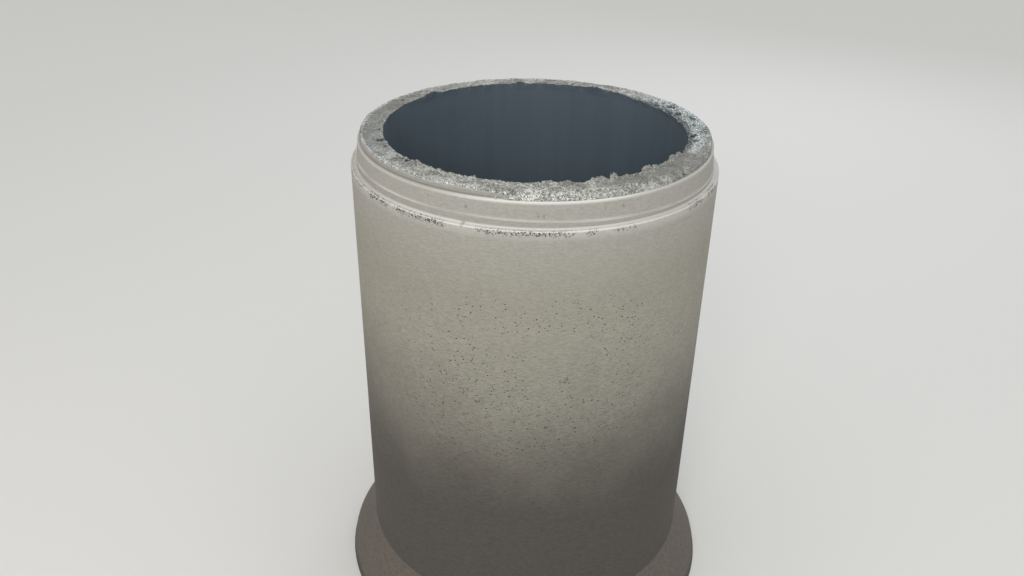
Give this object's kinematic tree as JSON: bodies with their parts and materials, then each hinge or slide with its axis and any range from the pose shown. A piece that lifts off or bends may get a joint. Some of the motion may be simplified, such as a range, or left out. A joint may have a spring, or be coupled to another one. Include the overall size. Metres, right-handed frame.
{
  "type": "concrete culvert pipe",
  "caption": "Large precast concrete culvert pipe with a flared bell at the bottom, a stepped spigot at the top and a smooth straight bore.",
  "frame": {"origin": "centre of the bell's end face, on the pipe's axis", "axes": "+Z along the pipe's axis, from the bell up to the spigot; the pipe is round, so +X and +Y are any two directions across it"},
  "size_m": [1.6974, 1.697, 2.118],
  "materials": {
    "concrete": "fresh dry-cast concrete, fine grained and matt, with small air holes"
  },
  "bodies": {
    "root": {"culvert_pipe": "concrete"}
  },
  "joints": []
}
